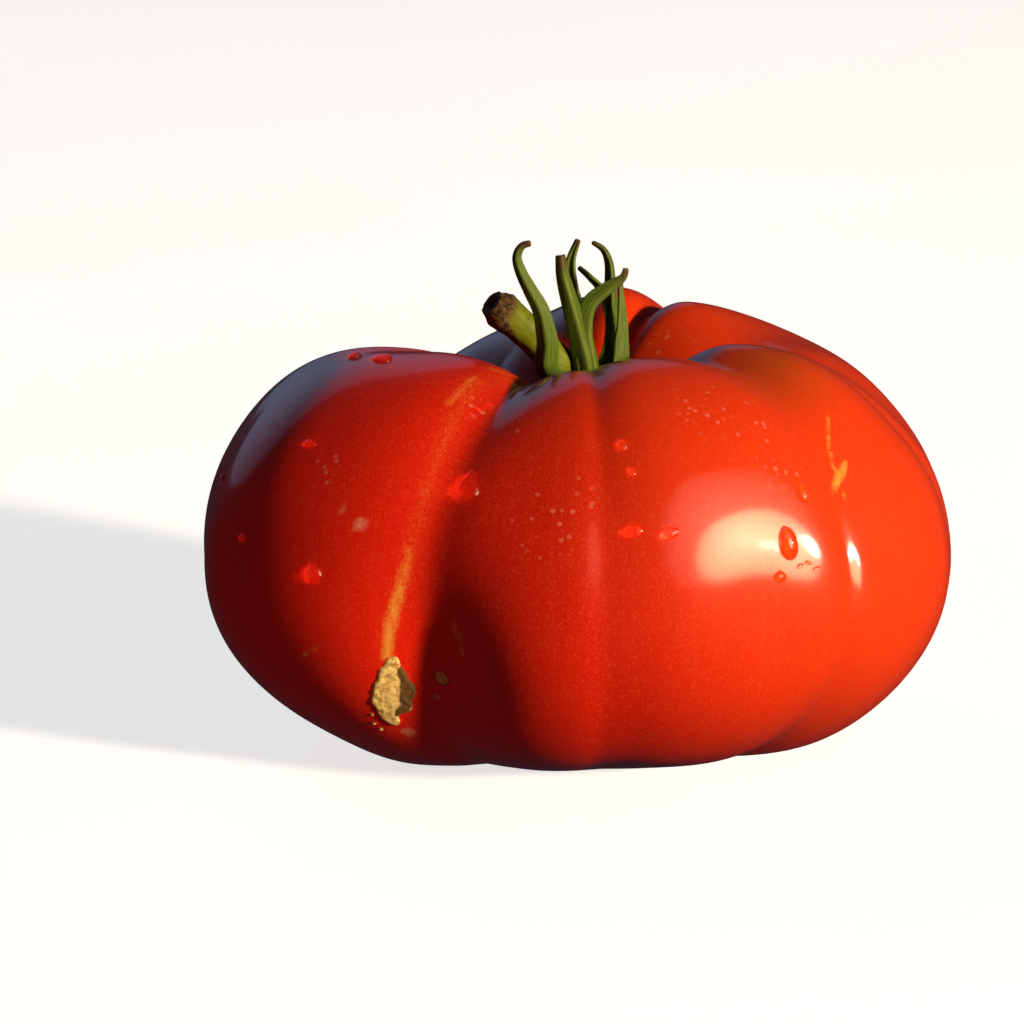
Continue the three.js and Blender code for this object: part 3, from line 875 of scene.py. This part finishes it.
def make_sepal(name, azimuth, widest, tip, midrib, material):
    """One sepal: a grid, tapered, folded along its keel and bent onto its midrib."""
    turn = math.radians(azimuth)
    outwards = Vector((math.sin(turn), -math.cos(turn), 0))
    root = outwards * SEPAL_ROOT_RADIUS + Vector((0, 0, SEPAL_ROOT_HEIGHT))
    route = smooth_route([root] + [Vector(place) for place in midrib], SEPAL_STEPS)
    blade = bmesh.new()
    bmesh.ops.create_grid(blade, x_segments=SEPAL_STRIPS, y_segments=SEPAL_STEPS, size=1.0)
    along_layer = blade.verts.layers.float.new("along")
    side_layer = blade.verts.layers.float.new("side")
    for point in blade.verts:
        side = point.co.x
        along = (point.co.y + 1) / 2
        point[along_layer] = along
        point[side_layer] = side
        place, across, outward = route_frame(route, along, outwards)
        half = sepal_width(along, widest, tip) / 2
        ripple = SEPAL_RIPPLE * half * math.sin(9 * along + azimuth + 2 * side) * abs(side)
        fold = SEPAL_FOLD * half * abs(side) ** SEPAL_KEEL_SOFTNESS
        folded = place + across * side * half + outward * (ripple - fold)
        point.co = (folded + Vector((0, 0, BASIN_FLOOR))) * MM
    bmesh.ops.recalc_face_normals(blade, faces=blade.faces[:])
    piece = finish_piece("sepal_" + name, blade, material, ["calyx"])
    shell = piece.modifiers.new("thickness", "SOLIDIFY")
    shell.thickness = SEPAL_THICKNESS * MM
    shell.offset = 0.0
    soften = piece.modifiers.new("soft_edges", "SUBSURF")
    soften.levels = 1
    soften.render_levels = 1
    return piece


sepal_green = make_sepal_green()
sepals = {}
for name, azimuth, widest, tip, midrib in SEPALS:
    sepals[name] = make_sepal(name, azimuth, widest, tip, midrib, sepal_green)
# The front left sepal throws no shadow, because it would darken the stem close behind it.
sepals["front_left"].visible_shadow = False

# %% [markdown]
# The receptacle is the small green knob that the sepals and the stem grow from. It is a ball from an
# operator, flattened and settled into the basin, with the same green as the sepals' roots.

# %% Receptacle
RECEPTACLE_MIDDLE = 2.9
RECEPTACLE_RADIUS = 5.4
RECEPTACLE_HALF_HEIGHT = 2.0


def make_receptacle(material):
    """The knob in the basin, with gentle random lumps."""
    knob = bmesh.new()
    bmesh.ops.create_uvsphere(knob, u_segments=64, v_segments=32, radius=1.0)
    along_layer = knob.verts.layers.float.new("along")
    side_layer = knob.verts.layers.float.new("side")
    for point in knob.verts:
        lumps = 1 + 0.06 * noise.noise(point.co * 3)
        point[along_layer] = 0.1
        point[side_layer] = 0.5
        point.co.x *= RECEPTACLE_RADIUS * lumps
        point.co.y *= RECEPTACLE_RADIUS * lumps
        point.co.z = point.co.z * RECEPTACLE_HALF_HEIGHT * lumps + RECEPTACLE_MIDDLE + BASIN_FLOOR
    bmesh.ops.scale(knob, vec=(MM, MM, MM), verts=knob.verts[:])
    return finish_piece("receptacle", knob, material, ["calyx"])


make_receptacle(sepal_green)

# %% [markdown]
# The stem is a bent stub with a knuckle at the bend, where a ripe fruit comes away from the vine, and a dry
# end that has swollen and hollowed. A cone operator makes a straight rod, its length is cut into rings, the
# end is inset and pushed in for the hollow, and the whole is carried onto the stem's curve.

# %% Stem
STEM_FOOT = BASIN_FLOOR + 5.0
STEM_RADIUS = 2.9
STEM_END_RADIUS = 3.4
STEM_KNUCKLE_AT = 0.27
STEM_KNUCKLE_SPREAD = 0.08
STEM_KNUCKLE_SWELL = 0.45
STEM_PLACES = [
    (-3.6, -0.2, -2.2),
    (-3.6, -0.3, 1.6),
    (-4.3, -0.9, 4.8),
    (-6.9, -2.7, 8.3),
    (-10.6, -4.6, 12.1),
    (-15, -6.6, 16),
]
STEM_RINGS = 70
STEM_SIDES = 56
STEM_END_INSET = 0.12
STEM_END_INSETS = 7
STEM_HOLLOW_STEP = 0.007


def stem_radius(along):
    """The stem's radius at a share of its length."""
    bend = (along - STEM_KNUCKLE_AT) / STEM_KNUCKLE_SPREAD
    swollen = STEM_RADIUS + (STEM_END_RADIUS - STEM_RADIUS) * smooth_step(along, 0.68, 0.95)
    rounded = math.sqrt(1 - 0.55 * smooth_step(along, 0.88, 1.0))
    return (swollen + STEM_KNUCKLE_SWELL * math.exp(-bend * bend)) * rounded


def make_stem_green():
    """Yellow-green stem with dark specks, browned towards its dry end and darker below, partly its own brown
    and partly painted shade.
    """
    material, tree, shader = new_material("stem_green")
    place = add_node(tree, "TexCoord").outputs["Object"]
    along = attribute(tree, "along")
    under_brown_and_shade = attribute(tree, "under_brown_and_shade")
    patches = grain(tree, place, 420, 4.0, 0.6)
    fibres = grain(tree, place, 1400, 3.0, 0.6)
    green = mix_colours(tree, patches, (0.085, 0.105, 0.004, 1), (0.18, 0.205, 0.009, 1))
    specks = add_node(tree, "TexVoronoi", {"Vector": place, "Scale": 700.0})
    speck = fade(tree, specks.outputs["Distance"], 0.22, 0.10)
    rare = fade(tree, add_node(tree, "SeparateColor", {0: specks.outputs["Color"]}).outputs[0], 0.66, 0.7)
    green = mix_colours(tree, calculate(tree, "MULTIPLY", speck, rare), green, (0.045, 0.04, 0.012, 1))
    ragged = calculate(tree, "MULTIPLY_ADD", patches, 0.22, along)
    # The under field darkens the stem's lower side with the bark colour: partly the stem's own brown, partly
    # painted shade.
    dry = fade(tree, calculate(tree, "MULTIPLY_ADD", under_brown_and_shade, 0.34, ragged), 0.94, 1.04)
    pale_fibres = fade(tree, fibres, 0.35, 0.65)
    bark = mix_colours(tree, pale_fibres, (0.022, 0.011, 0.005, 1), (0.12, 0.062, 0.018, 1))
    tone = mix_colours(tree, dry, green, bark)
    hollow = attribute(tree, "hollow")
    tone = mix_colours(tree, calculate(tree, "MULTIPLY", hollow, 0.4), tone, (0.030, 0.016, 0.007, 1))
    tree.links.new(tone, shader.inputs["Base Color"])
    relief = calculate(tree, "MULTIPLY_ADD", calculate(tree, "MULTIPLY", dry, fibres), 3.0, patches)
    bump = add_node(tree, "Bump", {"Height": relief, "Strength": 0.4, "Distance": 0.2 * MM})
    tree.links.new(bump.outputs["Normal"], shader.inputs["Normal"])
    rough = calculate(tree, "MULTIPLY_ADD", dry, 0.3, 0.42)
    tree.links.new(rough, shader.inputs["Roughness"])
    shader.inputs["Subsurface Weight"].default_value = 0.1
    shader.inputs["Subsurface Radius"].default_value = (0.7, 1.0, 0.2)
    shader.inputs["Subsurface Scale"].default_value = 0.8 * MM
    shader.inputs["Specular IOR Level"].default_value = 0.15
    return material


def make_stem(material):
    """The stub: a rod with rings and a hollow end, bent onto its curve."""
    rod = bmesh.new()
    bmesh.ops.create_cone(
        rod, cap_ends=True, cap_tris=False, segments=STEM_SIDES, radius1=1.0, radius2=1.0, depth=1.0
    )
    bmesh.ops.translate(rod, vec=(0, 0, 0.5), verts=rod.verts[:])
    uprights = [edge for edge in rod.edges if abs(edge.verts[0].co.z - edge.verts[1].co.z) > 0.5]
    bmesh.ops.subdivide_edges(rod, edges=uprights, cuts=STEM_RINGS)
    along_layer = rod.verts.layers.float.new("along")
    under_brown_and_shade_layer = rod.verts.layers.float.new("under_brown_and_shade")
    hollow_layer = rod.verts.layers.float.new("hollow")
    end = max(rod.faces, key=lambda face: face.calc_center_median().z)
    for ring in range(STEM_END_INSETS):
        bmesh.ops.inset_region(rod, faces=[end], thickness=STEM_END_INSET, depth=0.0)
        for point in end.verts:
            point.co.z = 1.0 - STEM_HOLLOW_STEP * max(0, ring - 2)
            point[hollow_layer] = smooth_step(ring, 1.5, 3.5)
    route = smooth_route([Vector(place) for place in STEM_PLACES], STEM_RINGS)
    outwards = Vector((0, -1, 0))
    for point in rod.verts:
        along = min(1.0, max(0.0, point.co.z))
        place, across, outward = route_frame(route, along, outwards)
        angle = math.atan2(point.co.y, point.co.x)
        ridges = 0.025 * math.sin(5 * angle + 3 * along)
        lumps = 0.03 * noise.noise(point.co * 4 + Vector((0, 0, along * 9)))
        bark = 0.10 * noise.noise(Vector((point.co.x * 3, point.co.y * 3, along * 30)))
        bark *= smooth_step(along, 0.86, 0.96)
        radius = stem_radius(along) * (1 + ridges + lumps + bark)
        sideways = across * point.co.x + outward * point.co.y
        point[along_layer] = along
        # Highest on the stem's lower side, where its own brown and a painted shade are put.
        point[under_brown_and_shade_layer] = smooth_step(-sideways.z - 0.25 * point.co.x, 0.15, 0.75)
        point.co = (place + sideways * radius + Vector((0, 0, STEM_FOOT))) * MM
    bmesh.ops.recalc_face_normals(rod, faces=rod.faces[:])
    return finish_piece("stem_stub", rod, material, ["stem"])


make_stem(make_stem_green())

# %% [markdown]
# Water drops sit on the skin. Each is a ball whose upper half bulges out from the skin and whose lower half
# is pressed into it, so that light bends through it as through a lens. Every point is set on the skin below
# it, so a drop follows the curve of the lobe that it hangs on. The water is tinted grey as painted shade, a
# painted shade darkens each drop's rim, and a painted light makes a bright crescent on the side away from the
# sun, where real drops gather light; both are stored on the mesh.

# %% Water drops
# Each drop: pixel, width and height in millimetres, lean in degrees, bulge in millimetres, and sag.
DROPS = [
    ((469, 487), 4.4, 6.2, 8, 1.3, 0.35),
    ((788, 543), 3.4, 5.8, 6, 1.2, 0.12),
    ((780, 577), 2.4, 1.9, 0, 0.7, 0.0),
    ((803, 493), 2.5, 3.6, -10, 0.9, 0.2),
    ((669, 534), 3.6, 2.0, 24, 0.8, 0.1),
    ((631, 532), 4.2, 2.4, 10, 0.6, 0.0),
    ((622, 446), 2.2, 2.5, 0, 0.7, 0.1),
    ((632, 472), 1.4, 2.0, 20, 0.5, 0.1),
    ((313, 574), 3.4, 3.8, 0, 0.9, 0.2),
    ((382, 359), 4.6, 3.2, 0, 0.9, 0.0),
    ((355, 357), 2.4, 2.4, 0, 0.8, 0.0),
    ((223, 479), 1.6, 2.2, 0, 0.6, 0.0),
    ((310, 444), 2.6, 1.6, 0, 0.5, 0.0),
    ((243, 538), 1.8, 1.6, 0, 0.5, 0.0),
    ((800, 566), 1.3, 0.8, 20, 0.35, 0.0),
    ((808, 563), 1.5, 0.7, -20, 0.35, 0.0),
    ((816, 569), 1.6, 0.8, 15, 0.35, 0.0),
    ((492, 406), 1.0, 0.9, 0, 0.4, 0.0),
    ((486, 408), 0.7, 0.7, 0, 0.3, 0.0),
    ((479, 410), 0.8, 0.7, 0, 0.3, 0.0),
    ((471, 414), 0.8, 0.6, 0, 0.3, 0.0),
]
DROP_SINK = 0.12


def add_drop(shape, pixel, width, height, lean, bulge, sag):
    """One drop, made at the origin and set on the skin point by point."""
    middle = skin_at(pixel)
    foot, normal, face, distance = skin.find_nearest(middle)
    level = Vector((0, 0, 1)).cross(normal).normalized()
    steep = normal.cross(level)
    swing = math.radians(lean)
    sideways = level * math.cos(swing) + steep * math.sin(swing)
    upward = steep * math.cos(swing) - level * math.sin(swing)
    ball = bmesh.ops.create_icosphere(shape, subdivisions=4, radius=1.0)
    for point in ball["verts"]:
        unit = point.co.copy()
        narrow = 1 - sag * unit.y
        flat = middle + (sideways * unit.x * width * narrow + upward * unit.y * height) * MM / 2
        foot, out, face, distance = skin.find_nearest(flat)
        lift = unit.z * bulge * (1 - 0.6 * sag * unit.y) if unit.z > 0 else unit.z * DROP_SINK
        from_middle = math.hypot(unit.x, unit.y)
        # The crescent is a painted light and the rim a painted shade.
        painted_light_crescent = smooth_step(abs(from_middle - 0.62), 0.22, 0.05) if unit.x < 0 else 0.0
        point[shape.verts.layers.float["rim"]] = smooth_step(from_middle, 0.80, 0.97)
        point[shape.verts.layers.float["painted_light_crescent"]] = painted_light_crescent * smooth_step(-unit.x, 0.1, 0.4)
        point.co = foot + out * lift * MM


def make_water():
    """Water tinted grey as painted shade, with a painted shade at each drop's rim and a painted light in its
    crescent.
    """
    material, tree, shader = new_material("drop_water_with_painted_light")
    place = add_node(tree, "TexCoord").outputs["Object"]
    waves = grain(tree, place, 500)
    ripple = add_node(tree, "Bump", {"Height": waves, "Strength": 0.03, "Distance": 0.1 * MM})
    tree.links.new(ripple.outputs["Normal"], shader.inputs["Normal"])
    # The grey body is painted shade for drops that throw no shadow; the crescent is a painted light and the
    # rim a painted shade.
    body = mix_colours(tree, attribute(tree, "painted_light_crescent"), (0.52, 0.46, 0.44, 1), (0.95, 0.90, 0.85, 1))
    rim = calculate(tree, "MULTIPLY", attribute(tree, "rim"), 0.8)
    body = mix_colours(tree, rim, body, (0.30, 0.10, 0.08, 1))
    tree.links.new(body, shader.inputs["Base Color"])
    shader.inputs["Roughness"].default_value = 0.02
    shader.inputs["IOR"].default_value = 1.33
    shader.inputs["Transmission Weight"].default_value = 1.0
    return material


def make_drops():
    """All of the drops as one piece, which throws no shadow on the skin under it."""
    shape = bmesh.new()
    shape.verts.layers.float.new("rim")
    shape.verts.layers.float.new("painted_light_crescent")
    for drop in DROPS:
        add_drop(shape, *drop)
    bmesh.ops.recalc_face_normals(shape, faces=shape.faces[:])
    piece = finish_piece("water_drops", shape, make_water(), [])
    piece.visible_shadow = False
    return piece


make_drops()

# %% [markdown]
# The frame's box and the finished looks' box are printed side by side.

# %% Measure and finish
visual_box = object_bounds()
boxes = {"cad": [list(corner) for corner in cad_box], "visual": [list(corner) for corner in visual_box]}
for name, corners in boxes.items():
    print(name, "box in mm:", [[round(side / MM, 1) for side in corner] for corner in corners])
